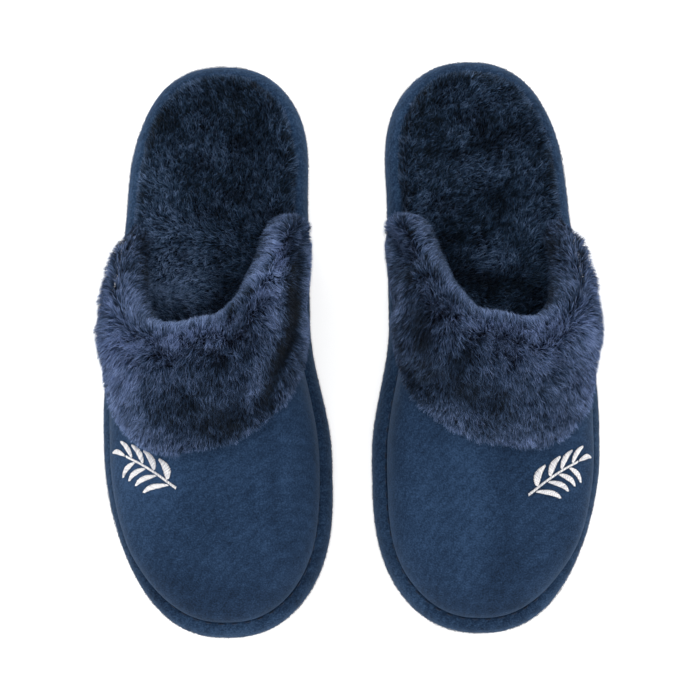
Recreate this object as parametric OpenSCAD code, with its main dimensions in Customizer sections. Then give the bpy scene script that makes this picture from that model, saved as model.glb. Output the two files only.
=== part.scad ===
// A pair of scuff slippers: a wrapped platform sole, a domed padded vamp and a turned-down fur collar.
// X runs across the pair, Y from the toes (-Y) to the heels (+Y), Z up from the floor.
// Both slippers come from one shape, drawn for the left foot, with its inner side towards the middle.

/* [Pair] */
// Gap between the two slippers where they are nearest
pair_gap = 18.8; // [6:0.1:80]

/* [Sole outline] */
// Length of the sole from heel to toe
sole_length = 265; // [215:1:325]
// Width of the sole across the heel
heel_width = 83; // [66:0.5:102]
// Width of the sole across the ball of the foot
ball_width = 105.5; // [84:0.5:130]
// Distance from the toe end to the widest line of the ball
ball_from_toe = 86.5; // [70:0.5:100]
// Distance from the heel end to the widest line of the heel
heel_from_end = 57.5; // [48:0.5:65]
// How far the ball's middle lies outwards of the heel's middle
ball_shift = 2.2; // [0:0.1:5]
// How far the toe end leans inwards of the ball's middle
toe_lean = 3.7; // [0:0.1:8]
// How far the heel end leans inwards of the heel's middle
heel_lean = 3; // [0:0.1:5]

/* [Sole build-up] */
// Thickness of the rubber outsole with its tread
outsole_h = 5; // [4:0.1:8]
// Depth of the tread grooves
tread_depth = 1.8; // [1:0.1:2.5]
// Width of a tread groove
groove_w = 2.4; // [1.5:0.1:4]
// Distance between tread grooves
groove_pitch = 11; // [8:0.5:16]
// Width of the plain band around the tread
tread_band = 7; // [5:0.5:12]
// How far the outsole stands inside the wrapped edge
outsole_inset = 1; // [0.5:0.1:3]
// Height of the wrapped platform above the outsole
platform_h = 16.2; // [12:0.1:22]
// Thickness of the foam platform
midsole_h = 6.5; // [5:0.1:9]
// Thickness of the suede that wraps the platform
wrap_t = 1.5; // [1:0.1:2]
// Width of the rounded rim, from the widest edge in to the seam
rim_w = 7; // [5:0.5:9]
// Width of the seam allowance that lies under the vamp and the footbed
seam_flange = 4; // [3:0.5:6]
// Thickness of the plush footbed
footbed_t = 5; // [3:0.1:7]

/* [Vamp] */
// Distance from the toe end of the sole back to the front of the opening
lip_from_toe = 139.5; // [118:0.5:168]
// Distance from the toe end of the sole back to the ends of the wings
wing_from_toe = 194; // [176:1:202]
// Height of the toe end of the vamp's crest line above the platform
toe_rise = 22; // [18:1:30]
// Height of the vamp above the platform at the front of the opening
lip_rise = 44.5; // [36:1:56]
// How far the vamp's inner side swells out above the seam
inner_bulge = 3; // [0:0.1:4]
// How far the vamp's outer side swells out above the seam
outer_bulge = 6.5; // [2:0.1:8]
// How much further in than at the sides the seam runs round the toe
toe_setback = 1.5; // [0:0.1:3]
// How far the crest of the instep lies towards the inner side
crest_shift = 5; // [0:0.5:9]
// Angle round the instep, from the crest outwards, where the opening reaches furthest forward
lip_angle = 18; // [10:1:40]
// Thickness of the suede of the vamp
shell_t = 1.2; // [0.8:0.1:1.6]
// Thickness of the foam interlining
padding_t = 2.2; // [1.5:0.1:3]
// Thickness of the pressed plush lining
lining_t = 1.8; // [1.2:0.1:2.4]

/* [Fur collar] */
// Thickness of the turned-down fur over the instep
pile = 8; // [5:0.5:11]
// Thickness of the rolled edge of the collar behind the opening's edge
roll = 5; // [3:0.5:6]
// Share of the pile's thickness that stands at the inner side of the foot
inner_pile = 0.95; // [0.5:0.05:1]
// Share of the pile's thickness that stands at the outer side of the foot
outer_pile = 0.75; // [0.5:0.05:1]

/* [Sewing] */
// Length of one stitch
stitch_len = 3.2; // [2.5:0.1:4]
// Distance from one stitch to the next
stitch_pitch = 6; // [5:0.5:9]
// Thickness of the sewing thread
thread_d = 0.7; // [0.5:0.1:0.9]
// Thickness of the embroidery
motif_t = 0.7; // [0.4:0.1:1]

/* [Hidden] */

navy_suede = [0.15, 0.24, 0.37];
navy_plush = [0.08, 0.11, 0.18];
navy_fur = [0.19, 0.24, 0.40];
foam_grey = [0.55, 0.57, 0.60];
rubber_blue = [0.10, 0.13, 0.20];
silver_thread = [0.82, 0.83, 0.85];

layer_gap = 0.2;        // between layers that lie on each other
nap_gap = 0.5;          // between the vamp and the fur that lies on it
round_n = 2.32;         // fullness of the sole's round ends
crest_n = 2.4;          // fullness of the toe box from the side
inner_n = 0.85;         // fullness of the instep's inner side, squarer as it gets smaller
outer_n = 0.65;         // and of its outer side
outer_edge_n = 1.65;     // how late the opening's edge turns back on the outer side
end_steps = 10;         // outline points along a quarter of a round end
side_steps = 8;         // outline points along the waist
angle_steps = 20;       // vamp facets from the inner seam round to the outer one
length_steps = 18;      // vamp facets from the toe to the opening
collar_steps = 28;      // collar facets from wing to wing
drop_steps = 8;         // collar facets from the roll down to the free edge

toe_y = -sole_length / 2;
heel_y = sole_length / 2;
ball_y = toe_y + ball_from_toe;
seat_y = heel_y - heel_from_end;
lip_y = toe_y + lip_from_toe;
wing_y = toe_y + wing_from_toe;
arch_back = 58;         // the inner side starts to widen this far behind the ball
arch_front = 4;         // and has its full width this far in front of it
outer_back = 10;        // the outer side starts to widen this far behind the seat line
outer_front = 11;       // and has its full width this far behind the ball
toe_lean_run = 65;      // the toe's lean builds up over this length
heel_lean_run = 50;     // the heel's lean, likewise, from this far in front of the seat line
heel_lean_front = 7;
flat_crest_y = ball_y - 10;
bulge_run = 40;         // the side bulge grows from nothing over this length behind the toe

platform_z = outsole_h + platform_h;
shoulder_z = outsole_h + 6;
outsole_bevel = 1;
lasting_w = 12;         // the wrap turns in this far under the platform
midsole_z = outsole_h + wrap_t;
foam_z = midsole_z + midsole_h;
seam_z = platform_z + layer_gap;
padding_d = shell_t + layer_gap;
lining_d = padding_d + padding_t + layer_gap;
upper_t = lining_d + lining_t;

// The slipper's own middle, so that the two stand pair_gap apart
slipper_x = pair_gap / 2 + ball_width / 2 - ball_shift;

function mix(a, b, t) = a + (b - a) * t;
function clamp(t) = min(1, max(0, t));
function smooth(t) = let (u = clamp(t)) u * u * (3 - 2 * u);
function full(t, n) = pow(1 - pow(clamp(t), n), 1 / n);

// ---- Sole outline ----

function inner_x(y) = -mix(heel_width / 2, ball_width / 2 - ball_shift,
  smooth((ball_y + arch_back - y) / (arch_back + arch_front)));
function outer_x(y) = mix(heel_width / 2, ball_width / 2 + ball_shift,
  smooth((seat_y + outer_back - y) / (seat_y + outer_back - ball_y - outer_front)));
function mid_x(y) = (inner_x(y) + outer_x(y)) / 2
  - toe_lean * smooth((ball_y - y) / toe_lean_run) - heel_lean * smooth((y - seat_y + heel_lean_front) / heel_lean_run);
function half_w(y) = (outer_x(y) - inner_x(y)) / 2;

// Stations [y, share of the width] from toe to heel, for an outline drawn in by inset
function stations(inset) = concat(
  [for (k = [end_steps:-1:0]) let (a = 90 * k / end_steps)
    [ball_y - (ball_from_toe - inset) * pow(sin(a), 2 / round_n), pow(cos(a), 2 / round_n)]],
  [for (k = [1:side_steps - 1]) [mix(ball_y, seat_y, k / side_steps), 1]],
  [for (k = [0:end_steps]) let (a = 90 * k / end_steps)
    [seat_y + (heel_from_end - inset) * pow(sin(a), 2 / round_n), pow(cos(a), 2 / round_n)]]
);

// Closed outline, up the outer side and down the inner one
function outline(inset) = let (st = stations(inset), n = len(st)) concat(
  [for (s = st) [mid_x(s[0]) + s[1] * (half_w(s[0]) - inset), s[0]]],
  [for (k = [n - 2:-1:1]) let (s = st[k]) [mid_x(s[0]) - s[1] * (half_w(s[0]) - inset), s[0]]]
);

module slab(inset, z0, z1) {
  translate([0, 0, z0]) linear_extrude(z1 - z0) polygon(outline(inset));
}

// ---- Meshes from rows of points ----

function quad(a, b, c, d) = [[a, b, c], [a, c, d]];

// A ring swept along the outline: every row is the outline at one point of the section
module outline_ring(section) {
  rows = [for (p = section) [for (q = outline(p[0])) [q[0], q[1], p[1]]]];
  m = len(rows);
  n = len(rows[0]);
  polyhedron(
    [for (r = rows) each r],
    [for (j = [0:m - 1]) for (i = [0:n - 1]) let (j2 = (j + 1) % m, i2 = (i + 1) % n)
      each quad(j * n + i, j2 * n + i, j2 * n + i2, j * n + i2)]
  );
}

// A thick sheet between two grids of the same size, closed along its four sides
module thick_sheet(top, under) {
  m = len(top) - 1;
  n = len(top[0]) - 1;
  size = (m + 1) * (n + 1);
  function at(j, i) = j * (n + 1) + i;
  polyhedron(
    concat([for (r = top) each r], [for (r = under) each r]),
    concat(
      [for (j = [0:m - 1]) for (i = [0:n - 1]) each quad(at(j, i), at(j + 1, i), at(j + 1, i + 1), at(j, i + 1))],
      [for (j = [0:m - 1]) for (i = [0:n - 1])
        each quad(size + at(j, i), size + at(j, i + 1), size + at(j + 1, i + 1), size + at(j + 1, i))],
      [for (j = [0:m - 1]) each quad(at(j, 0), size + at(j, 0), size + at(j + 1, 0), at(j + 1, 0))],
      [for (j = [0:m - 1]) each quad(at(j, n), at(j + 1, n), size + at(j + 1, n), size + at(j, n))],
      [for (i = [0:n - 1]) each quad(at(0, i), at(0, i + 1), size + at(0, i + 1), size + at(0, i))],
      [for (i = [0:n - 1]) each quad(at(m, i), size + at(m, i), size + at(m, i + 1), at(m, i + 1))]
    )
  );
}

// ---- Vamp surface ----

// Toe end of the seam, for a surface that lies d inside the vamp's outer face
function tip_y(d) = toe_y + rim_w + toe_setback + d;
function seam_half(y, d) = (half_w(y) - rim_w - d) * full((ball_y - y) / (ball_y - tip_y(d)), round_n);
function rise(y) = mix(toe_rise, lip_rise, clamp((y - tip_y(0)) / (lip_y - tip_y(0))));
function crest(y, d) = (rise(y) - d) * full((flat_crest_y - y) / (flat_crest_y - tip_y(d)), crest_n);

// Point of the vamp at angle a round the instep, from -90 at the inner seam to 90 at the outer one
function vamp_pt(a, y, d) = let (
  across = seam_half(y, d) * pow(abs(sin(a)), a < 0 ? inner_n : outer_n),
  swell = (a < 0 ? inner_bulge : outer_bulge) * sin(2 * abs(a)) * smooth((y - tip_y(0)) / bulge_run),
  lean = crest_shift * pow(cos(a), 1.5) * smooth((y - tip_y(0)) / (lip_y - tip_y(0)))
) [mid_x(y) - lean + sign(a) * (across + swell), y, seam_z + crest(y, d) * pow(cos(a), 0.9)];

// Edge of the opening: furthest forward at lip_angle, and back along the wings on both sides
function edge_curve(t) = pow(t, 2.2) / (pow(t, 2.2) + 0.5 * pow(1 - t, 2.2));
function top_y(a) = a < lip_angle
  ? mix(lip_y, wing_y, edge_curve((lip_angle - a) / (90 + lip_angle)))
  : mix(lip_y, wing_y, pow((a - lip_angle) / (90 - lip_angle), outer_edge_n));

// One layer of the vamp, from depth d0 to depth d1; the toe end is a single point on each face
module vamp_layer(d0, d1) {
  n = angle_steps;
  m = length_steps;
  function face(d) = concat([vamp_pt(0, tip_y(d), d)],
    [for (j = [1:m]) for (i = [0:n]) let (a = 180 * i / n - 90)
      vamp_pt(a, mix(tip_y(d), top_y(a), 1 - cos(90 * j / m)), d)]);
  outer = face(d0);
  size = len(outer);
  function at(j, i) = j == 0 ? 0 : 1 + (j - 1) * (n + 1) + i;
  polyhedron(
    concat(outer, face(d1)),
    concat(
      [for (i = [0:n - 1]) [0, at(1, i), at(1, i + 1)]],
      [for (i = [0:n - 1]) [size, size + at(1, i + 1), size + at(1, i)]],
      [for (j = [1:m - 1]) for (i = [0:n - 1]) each quad(at(j, i), at(j + 1, i), at(j + 1, i + 1), at(j, i + 1))],
      [for (j = [1:m - 1]) for (i = [0:n - 1])
        each quad(size + at(j, i), size + at(j, i + 1), size + at(j + 1, i + 1), size + at(j + 1, i))],
      [for (j = [0:m - 1]) each quad(at(j, 0), size + at(j, 0), size + at(j + 1, 0), at(j + 1, 0))],
      [for (j = [0:m - 1]) each quad(at(j, n), at(j + 1, n), size + at(j + 1, n), size + at(j, n))],
      [for (i = [0:n - 1]) each quad(at(m, i), size + at(m, i), size + at(m, i + 1), at(m, i + 1))]
    )
  );
}

// ---- Fur collar ----

// Free edge of the collar: [angle round the instep, distance in front of the opening's front edge]
collar_edge = [[-88, -51], [-83, -29], [-76, -4], [-45, 25], [-14, 44], [13, 54], [36, 43], [58, 19], [76, -10], [88, -47]];
collar_angle = 88;      // the collar's ends, round the instep
end_taper = 0.06;       // share of the collar's run over which its ends thin out

// Smooth curve through a list of points, for u from 0 to the last index
function through(p, u) = let (
  n = len(p) - 1, k = min(n - 1, floor(u)), t = u - k,
  p0 = p[max(0, k - 1)], p1 = p[k], p2 = p[k + 1], p3 = p[min(n, k + 2)]
) ((2 * p1) + (p2 - p0) * t + (2 * p0 - 5 * p1 + 4 * p2 - p3) * t * t + (3 * p1 - p0 - 3 * p2 + p3) * t * t * t) / 2;

// Place on the vamp, [angle, y], for s along the collar and t from the opening's edge to the free edge
function collar_at(s, t) = let (
  a = mix(-collar_angle, collar_angle, s),
  free = through(collar_edge, s * (len(collar_edge) - 1))
) [mix(a, free[0], t), mix(top_y(a), lip_y - free[1], t)];

function fur_t(s, t) = let (
  a = collar_at(s, t)[0],
  ends = mix(0.35, 1, smooth(min(s, 1 - s) / end_taper)),
  sides = mix(1, a < 0 ? inner_pile : outer_pile, pow(abs(sin(a)), 3))
) pile * ends * sides * (0.35 + 0.65 * sin(27 + 140 * t));

function collar_pt(s, t, back, d) = let (q = collar_at(s, t)) vamp_pt(q[0], q[1] + back, d);

module fur_cuff() {
  top = [for (i = [0:collar_steps]) let (s = i / collar_steps, f = fur_t(s, 0)) concat(
    [for (j = [drop_steps:-1:0]) let (t = j / drop_steps) collar_pt(s, t, 0, -nap_gap - fur_t(s, t))],
    [collar_pt(s, 0, 0.7 * roll, -0.8 * f), collar_pt(s, 0, roll, 0), collar_pt(s, 0, 0.8 * roll, upper_t * 0.9)]
  )];
  under = [for (i = [0:collar_steps]) let (s = i / collar_steps) concat(
    [for (j = [drop_steps:-1:0]) collar_pt(s, j / drop_steps, 0, -nap_gap)],
    [collar_pt(s, 0, nap_gap, -nap_gap), collar_pt(s, 0, nap_gap, upper_t / 2), collar_pt(s, 0, nap_gap, upper_t)]
  )];
  color(navy_fur) thick_sheet(top, under);
}

// ---- Vamp, lining and sewing ----

module vamp_shell() { color(navy_suede) vamp_layer(0, shell_t); }
module vamp_padding() { color(foam_grey) vamp_layer(padding_d, padding_d + padding_t); }
module vamp_lining() { color(navy_plush) vamp_layer(lining_d, upper_t); }

// Points on the seam line, stitch_pitch apart, as [x, y, heading]
seam_line = outline(rim_w - 1.4 * thread_d);
function seam_run(i) = norm(seam_line[(i + 1) % len(seam_line)] - seam_line[i]);
seam_sums = [for (i = 0, sum = 0; i <= len(seam_line); sum = sum + seam_run(i % len(seam_line)), i = i + 1) sum];
stitch_count = floor(seam_sums[len(seam_line)] / stitch_pitch);
function seam_leg(s) = max([for (i = [0:len(seam_line) - 1]) if (seam_sums[i] <= s) i]);
function seam_at(s) = let (
  i = seam_leg(s), a = seam_line[i], b = seam_line[(i + 1) % len(seam_line)],
  p = mix(a, b, (s - seam_sums[i]) / seam_run(i))
) [p[0], p[1], atan2(b[1] - a[1], b[0] - a[0])];

module stitches(y0, y1) {
  for (k = [0:stitch_count - 1]) let (p = seam_at((k + 0.5) * seam_sums[len(seam_line)] / stitch_count))
    if (p[1] > y0 && p[1] < y1)
      translate([p[0], p[1], seam_z + thread_d / 2]) rotate([0, 0, p[2]])
        cube([stitch_len, thread_d, thread_d], center = true);
}

module vamp_seam_thread() { color(navy_suede) stitches(toe_y, wing_y - stitch_len); }
module heel_seam_thread() { color(navy_suede) stitches(wing_y + 2 * roll, heel_y); }

// The embroidered sprig lies on the outer front of the vamp: a stem and its leaves, in millimetres
// from the stem's foot, with the first number running outwards and the second back towards the heel
motif_angle = 12;       // round the instep, of the stem's foot
motif_y = lip_y - 71;   // and its place along the slipper
degrees_per_mm = 1.5;   // round the instep
stem = [[0, 0], [5.4, 6.2], [11.6, 11], [18.4, 14.2]];
leaf_at = [0.5, 1.15, 1.8, 2.45];
leaf_len = 9.2;
leaf_w = 3.4;
stem_w = 1;

function motif_pt(p, d) = vamp_pt(motif_angle + p[0] * degrees_per_mm, motif_y + p[1], d);
function heading(u) = let (v = through(stem, u + 0.05) - through(stem, u - 0.05)) atan2(v[1], v[0]);

// A leaf-shaped or stem-shaped piece between two sides of a line, laid on the vamp
module embroidered(line, widths) {
  n = len(line) - 1;
  function side(k) = let (a = line[max(0, k - 1)], b = line[min(n, k + 1)], v = (b - a) / norm(b - a)) [-v[1], v[0]];
  function face(d) = [for (k = [0:n]) [for (j = [1, 0, -1]) motif_pt(line[k] + j * widths[k] / 2 * side(k), d)]];
  thick_sheet(face(-layer_gap - motif_t), face(-layer_gap));
}

module leaf(foot, turn) {
  line = [for (k = [0:6]) foot + leaf_len * k / 6 * [cos(turn - 4 * k), sin(turn - 4 * k)]];
  embroidered(line, [for (k = [0:6]) mix(0.5, leaf_w, pow(sin(15 + 25 * k), 1.2))]);
}

module leaf_embroidery() {
  color(silver_thread) {
    embroidered([for (k = [0:9]) through(stem, k / 3)], [for (k = [0:9]) stem_w]);
    for (u = leaf_at) for (s = [-1, 1]) let (h = heading(u))
      leaf(through(stem, u) + s * (stem_w / 2 + layer_gap + 0.4) * [-sin(h), cos(h)] + [cos(h), sin(h)] * s, h + s * 48);
    leaf(through(stem, 3) + [1, 0.5], heading(2.9) + 6);
  }
}

// ---- Sole ----

module outsole() {
  color(rubber_blue) difference() {
    slab(outsole_inset, 0, outsole_h - layer_gap);
    intersection() {
      translate([0, 0, -1]) linear_extrude(tread_depth + 1) polygon(outline(outsole_inset + tread_band));
      for (y = [toe_y:groove_pitch:heel_y]) for (s = [-1, 1])
        translate([0, y, -1]) rotate([0, 0, s * 24]) translate([s > 0 ? -groove_w / 2 : -ball_width, -groove_w / 2, 0])
          cube([ball_width + groove_w / 2, groove_w, tread_depth + 1]);
    }
  }
}

module midsole() {
  color(foam_grey) slab(wrap_t + 2 * layer_gap, midsole_z + layer_gap, foam_z);
}

// Foam under the footbed, stepped in to lie inside the rounded rim
module insole_foam() {
  rim_z = platform_z - wrap_t;
  step_z = mix(foam_z, rim_z, 0.5);
  color(foam_grey) {
    slab(rim_inset(step_z) + layer_gap, foam_z + layer_gap, step_z);
    slab(rim_inset(rim_z - layer_gap) + 2 * layer_gap, step_z - layer_gap, rim_z - layer_gap);
    slab(rim_w + seam_flange + layer_gap, rim_z - 2 * layer_gap, platform_z);
  }
}

// How far in the wrap's inner face lies at height z on the rounded rim
function rim_inset(z) = let (u = clamp((z - shoulder_z) / (platform_z - wrap_t - shoulder_z)))
  mix(rim_w, wrap_t, sqrt(1 - u * u));

// Side of the footbed under the vamp, clear of the lining at the seam and at the footbed's top
bed_clear = 3 * layer_gap;
bed_top = footbed_t + bed_clear;
function bed_x(y, side) = let (
  a = acos(clamp(pow(bed_top / max(bed_top, crest(y, upper_t)), 1 / 0.9))),
  at_top = side * vamp_pt(side * a, y, upper_t)[0],
  at_seam = side * vamp_pt(side * 90, y, upper_t)[0]
) side * (min(at_top, at_seam) - bed_clear);

// Toe end of the footbed, where the lining's crest line reaches its top
bed_toe_y = let (t = pow(1 - pow(bed_top / (toe_rise - upper_t), crest_n), 1 / crest_n), tip = tip_y(upper_t))
  flat_crest_y - t * (flat_crest_y - tip) + bed_clear;

module footbed() {
  back_y = wing_y + roll + 2;
  steps = 24;
  ys = [for (k = [1:steps]) mix(bed_toe_y, back_y + 1, pow(k / steps, 1.6))];
  color(navy_plush) translate([0, 0, seam_z]) linear_extrude(footbed_t) union() {
    polygon(concat(
      [[mid_x(bed_toe_y), bed_toe_y]],
      [for (y = ys) [bed_x(y, 1), y]],
      [for (k = [steps - 1:-1:0]) [bed_x(ys[k], -1), ys[k]]]
    ));
    intersection() {
      polygon(outline(rim_w + 2 * layer_gap));
      translate([-ball_width, back_y]) square([2 * ball_width, sole_length]);
    }
  }
}

module sole_wrap() {
  steps = 6;
  outer = [for (k = [0:steps]) let (b = 90 * k / steps)
    [rim_w * (1 - cos(b)), mix(shoulder_z, platform_z, sin(b))]];
  inner = [for (k = [steps:-1:0]) let (b = 90 * k / steps)
    [mix(rim_w, wrap_t, cos(b)), mix(shoulder_z, platform_z - wrap_t, sin(b))]];
  color(navy_suede) outline_ring(concat(
    [[outsole_bevel, outsole_h], [0, outsole_h + 2]], outer,
    [[rim_w + seam_flange, platform_z], [rim_w + seam_flange, platform_z - wrap_t]], inner,
    [[wrap_t, outsole_h + wrap_t], [lasting_w, outsole_h + wrap_t], [lasting_w, outsole_h]]
  ));
}

// ---- The pair ----

module left() { translate([slipper_x, 0, 0]) children(); }
module right() { mirror([1, 0, 0]) left() children(); }

right() outsole();  // right_outsole
right() midsole();  // right_midsole
right() insole_foam();  // right_insole_foam
right() footbed();  // right_footbed
right() sole_wrap();  // right_sole_wrap
right() vamp_shell();  // right_vamp_shell
right() vamp_padding();  // right_vamp_padding
right() vamp_lining();  // right_vamp_lining
right() fur_cuff();  // right_fur_cuff
right() vamp_seam_thread();  // right_vamp_seam_thread
right() heel_seam_thread();  // right_heel_seam_thread
right() leaf_embroidery();  // right_leaf_embroidery
left() outsole();  // left_outsole
left() midsole();  // left_midsole
left() insole_foam();  // left_insole_foam
left() footbed();  // left_footbed
left() sole_wrap();  // left_sole_wrap
left() vamp_shell();  // left_vamp_shell
left() vamp_padding();  // left_vamp_padding
left() vamp_lining();  // left_vamp_lining
left() fur_cuff();  // left_fur_cuff
left() vamp_seam_thread();  // left_vamp_seam_thread
left() heel_seam_thread();  // left_heel_seam_thread
left() leaf_embroidery();  // left_leaf_embroidery
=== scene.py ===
"""A pair of scuff slippers: suede-wrapped platform, padded vamp, turned-down fur collar and a plush footbed.

Shapes repeat the part's own formulas in millimetres, in one slipper's frame: x outwards from its middle,
y from the toe back to the heel, z up. The right slipper is the mirror of the left one, with its own nap and its own
patches of tone, painted light and painted shade among them.
"""
import math

import bpy
import numpy as np
from mathutils.kdtree import KDTree
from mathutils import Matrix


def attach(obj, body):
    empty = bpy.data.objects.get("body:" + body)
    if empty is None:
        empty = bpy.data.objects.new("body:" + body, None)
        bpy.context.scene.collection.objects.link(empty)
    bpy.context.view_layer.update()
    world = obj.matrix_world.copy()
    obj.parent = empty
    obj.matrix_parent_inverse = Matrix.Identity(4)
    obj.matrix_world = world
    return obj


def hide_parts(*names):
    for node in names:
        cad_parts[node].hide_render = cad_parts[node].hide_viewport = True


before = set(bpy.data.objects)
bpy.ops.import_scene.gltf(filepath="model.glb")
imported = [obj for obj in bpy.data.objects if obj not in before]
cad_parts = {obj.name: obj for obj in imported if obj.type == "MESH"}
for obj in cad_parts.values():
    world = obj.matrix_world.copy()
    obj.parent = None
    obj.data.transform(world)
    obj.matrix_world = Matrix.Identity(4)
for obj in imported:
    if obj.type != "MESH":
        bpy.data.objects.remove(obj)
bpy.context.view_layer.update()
SIDES = {"left": 1, "right": -1}
PLAIN = (0.5, 0.5, 0.5)      # nap attribute of a face that is neither lighter nor darker

# ---------------------------------------------------------------- sizes, as in the part
sole_length, heel_width, ball_width = 265.0, 83.0, 105.5
ball_from_toe, heel_from_end, ball_shift = 86.5, 57.5, 2.2
toe_lean, heel_lean = 3.7, 3.0
outsole_h, platform_h = 5.0, 16.2
rim_w, footbed_t, pad_top = 7.0, 5.0, 5.6
lip_from_toe, wing_from_toe, toe_rise, lip_rise = 139.5, 194.0, 22.0, 44.5
inner_bulge, outer_bulge, toe_setback, crest_shift, lip_angle = 3.0, 6.5, 1.5, 5.0, 18.0
shell_t, padding_t, lining_t = 1.2, 2.2, 1.8
pile, roll, inner_pile, outer_pile = 8.0, 5.0, 0.95, 0.75
stitch_len, stitch_pitch, thread_d, thread_z = 3.2, 6.0, 0.7, 20.75
layer_gap, nap_gap = 0.2, 0.5
round_n, crest_n, inner_n, outer_n, outer_edge_n = 2.32, 2.4, 0.85, 0.65, 1.65
arch_back, arch_front, outer_back, outer_front = 58.0, 4.0, 10.0, 11.0
platform_z = outsole_h + platform_h
seam_z = platform_z + layer_gap
toe_y, heel_y = -sole_length / 2, sole_length / 2
ball_y, seat_y = toe_y + ball_from_toe, heel_y - heel_from_end
lip_y, wing_y = toe_y + lip_from_toe, toe_y + wing_from_toe
flat_crest_y = ball_y - 10
between_slippers = 18.8
padding_d = shell_t + layer_gap
lining_d = padding_d + padding_t + layer_gap
upper_t = lining_d + lining_t
slipper_x = between_slippers / 2 + ball_width / 2 - ball_shift
collar_edge = np.array([[-88, -41], [-83, -25], [-76, -4], [-45, 25], [-14, 44], [13, 54],
                        [36, 43], [58, 19], [76, -10], [88, -47]], float)
collar_angle, end_taper, wing_trim = 88.0, 0.06, 4.5
motif_angle, motif_y, degrees_per_mm = 12.0, lip_y - 71, 1.5
stem = np.array([[0, 0], [5.4, 6.2], [11.6, 11], [18.4, 14.2]], float)
leaf_at, leaf_len, leaf_w, stem_w = [0.5, 1.15, 1.8, 2.45], 9.2, 3.0, 1.0


# ---------------------------------------------------------------- the part's formulas, on arrays
def mix(a, b, t):
    return a + (b - a) * t


def clamp(t):
    return np.clip(t, 0.0, 1.0)


def smooth(t):
    t = clamp(t)
    return t * t * (3 - 2 * t)


def full(t, n):
    return np.maximum(0, 1 - clamp(t) ** n) ** (1 / n)


def inner_x(y):
    return -mix(heel_width / 2, ball_width / 2 - ball_shift,
                smooth((ball_y + arch_back - y) / (arch_back + arch_front)))


def outer_x(y):
    return mix(heel_width / 2, ball_width / 2 + ball_shift,
               smooth((seat_y + outer_back - y) / (seat_y + outer_back - ball_y - outer_front)))


def mid_x(y):
    lean = toe_lean * smooth((ball_y - y) / 65) + heel_lean * smooth((y - seat_y + 7) / 50)
    return (inner_x(y) + outer_x(y)) / 2 - lean


def half_w(y):
    return (outer_x(y) - inner_x(y)) / 2


def tip_y(d):
    return toe_y + rim_w + toe_setback + d


def seam_half(y, d):
    return (half_w(y) - rim_w - d) * full((ball_y - y) / (ball_y - tip_y(d)), round_n)


def crest(y, d):
    rise = mix(toe_rise, lip_rise, clamp((y - tip_y(0)) / (lip_y - tip_y(0))))
    return (rise - d) * full((flat_crest_y - y) / (flat_crest_y - tip_y(d)), crest_n)


def vamp_pt(a, y, d):
    """Point on the vamp, d inside its face; a goes round the instep, -90 at the inner seam and 90 at the outer."""
    a, y, d = np.broadcast_arrays(np.asarray(a, float), np.asarray(y, float), np.asarray(d, float))
    r = np.radians(a)
    s, c = np.abs(np.sin(r)), np.maximum(0, np.cos(r))
    grown = smooth((y - tip_y(0)) / (lip_y - tip_y(0)))
    across = seam_half(y, d) * s ** np.where(a < 0, inner_n, outer_n)
    swell = np.where(a < 0, inner_bulge, outer_bulge) * np.sin(2 * np.abs(r)) * smooth((y - tip_y(0)) / 40)
    x = mid_x(y) - crest_shift * c ** 1.5 * grown + np.sign(a) * (across + swell)
    return np.stack([x, y, seam_z + crest(y, d) * c ** 0.9], -1)


def top_y(a):
    back = clamp((lip_angle - a) / (90 + lip_angle))
    inner = mix(lip_y, wing_y, back ** 2.2 / (back ** 2.2 + 0.5 * (1 - back) ** 2.2))
    outer = mix(lip_y, wing_y, clamp((a - lip_angle) / (90 - lip_angle)) ** outer_edge_n)
    # the inner wing ends a little short of the part's
    return np.where(a < lip_angle, inner, outer) - wing_trim * smooth((-np.asarray(a, float) - 40) / 30)


def through(p, u):
    """Smooth curve through a list of points, for u from 0 to the last index."""
    n = len(p) - 1
    u = np.asarray(u, float)
    k = np.clip(np.floor(u).astype(int), 0, n - 1)
    t = (u - k)[..., None]
    p0, p1, p2, p3 = p[np.maximum(0, k - 1)], p[k], p[k + 1], p[np.minimum(n, k + 2)]
    square, cube = 2 * p0 - 5 * p1 + 4 * p2 - p3, 3 * p1 - p0 - 3 * p2 + p3
    return (2 * p1 + (p2 - p0) * t + square * t * t + cube * t ** 3) / 2


def collar_at(s, t):
    a = mix(-collar_angle, collar_angle, s)
    free = through(collar_edge, s * (len(collar_edge) - 1))
    return mix(a, free[..., 0], t), mix(top_y(a), lip_y - free[..., 1], t)


def fur_t(s, t):
    a = collar_at(s, t)[0]
    ends = mix(0.35, 1, smooth(np.minimum(s, 1 - s) / end_taper))
    sides = mix(1, np.where(a < 0, inner_pile, outer_pile), np.abs(np.sin(np.radians(a))) ** 3)
    return pile * ends * sides * (0.35 + 0.65 * np.sin(np.radians(27 + 140 * t)))


# ---------------------------------------------------------------- sole outline
END, SIDE = 90, 120


def ring(inset, setback):
    """The sole's closed outline drawn in by inset; setback shortens its toe end as well."""
    q = np.linspace(0, math.pi / 2, END + 1)
    s, c = np.sin(q) ** (2 / round_n), np.cos(q) ** (2 / round_n)
    y = np.concatenate([(ball_y - (ball_from_toe - inset - setback) * s)[::-1],
                        mix(ball_y, seat_y, np.arange(1, SIDE) / SIDE), seat_y + (heel_from_end - inset) * s])
    w = np.concatenate([c[::-1], np.ones(SIDE - 1), c]) * (half_w(y) - inset)
    return np.concatenate([np.stack([mid_x(y) + w, y], -1), np.stack([mid_x(y) - w, y], -1)[::-1][1:-1]])


def outline(inset, setback, n):
    """n points of a ring, the same share of the way round whatever the inset."""
    i, f, after = _steps(n)
    loop = ring(inset, setback)
    return loop[i] * (1 - f) + loop[after] * f


_cache = {}


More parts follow.
